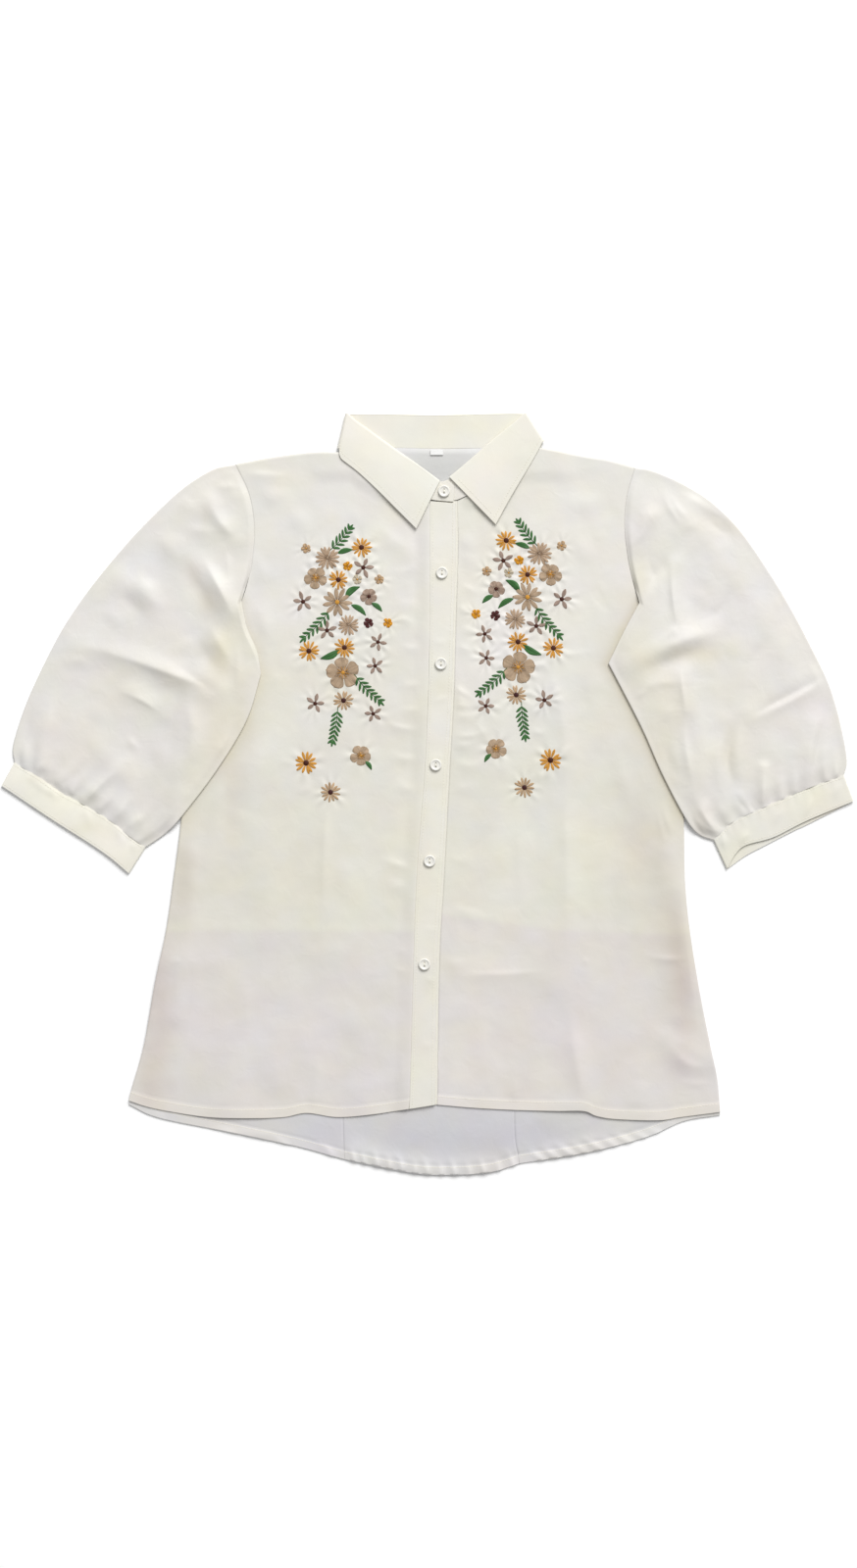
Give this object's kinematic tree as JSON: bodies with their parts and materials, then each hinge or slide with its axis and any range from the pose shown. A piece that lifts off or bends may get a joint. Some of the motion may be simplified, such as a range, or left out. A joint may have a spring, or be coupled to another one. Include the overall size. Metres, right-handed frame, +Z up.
{
  "type": "embroidered shirt",
  "caption": "Lightweight ivory shirt lying flat face up, with elbow puff sleeves gathered into cuffs, pointed collar, buttoned placket and floral embroidery.",
  "frame": {"origin": "middle of the footprint, on the surface the shirt lies on", "axes": "+X across the sleeves towards the wearer's left, +Y from the hem to the collar, +Z up out of the surface"},
  "size_m": [0.8248, 0.7386, 0.0069],
  "materials": {
    "front_cloth": "sheer plain weave",
    "back_cloth": "sheer plain weave",
    "sleeve_cloth": "sheer plain weave",
    "band_cloth": "stiffened double cloth",
    "label_cloth": "plain tape",
    "button_pearl": "pearly"
  },
  "bodies": {
    "root": {"back_centre": "back_cloth", "back_side_left": "back_cloth", "back_side_right": "back_cloth", "front_left": "front_cloth", "front_right": "front_cloth", "placket": "band_cloth", "button_stand": "band_cloth", "collar_stand": "band_cloth", "collar_leaf": "band_cloth", "sleeve_left": "sleeve_cloth", "sleeve_right": "sleeve_cloth", "cuff_left": "band_cloth", "cuff_right": "band_cloth", "neck_label": "label_cloth", "button_1": "button_pearl", "button_2": "button_pearl", "button_3": "button_pearl", "button_4": "button_pearl", "button_5": "button_pearl", "button_6": "button_pearl"}
  },
  "joints": []
}
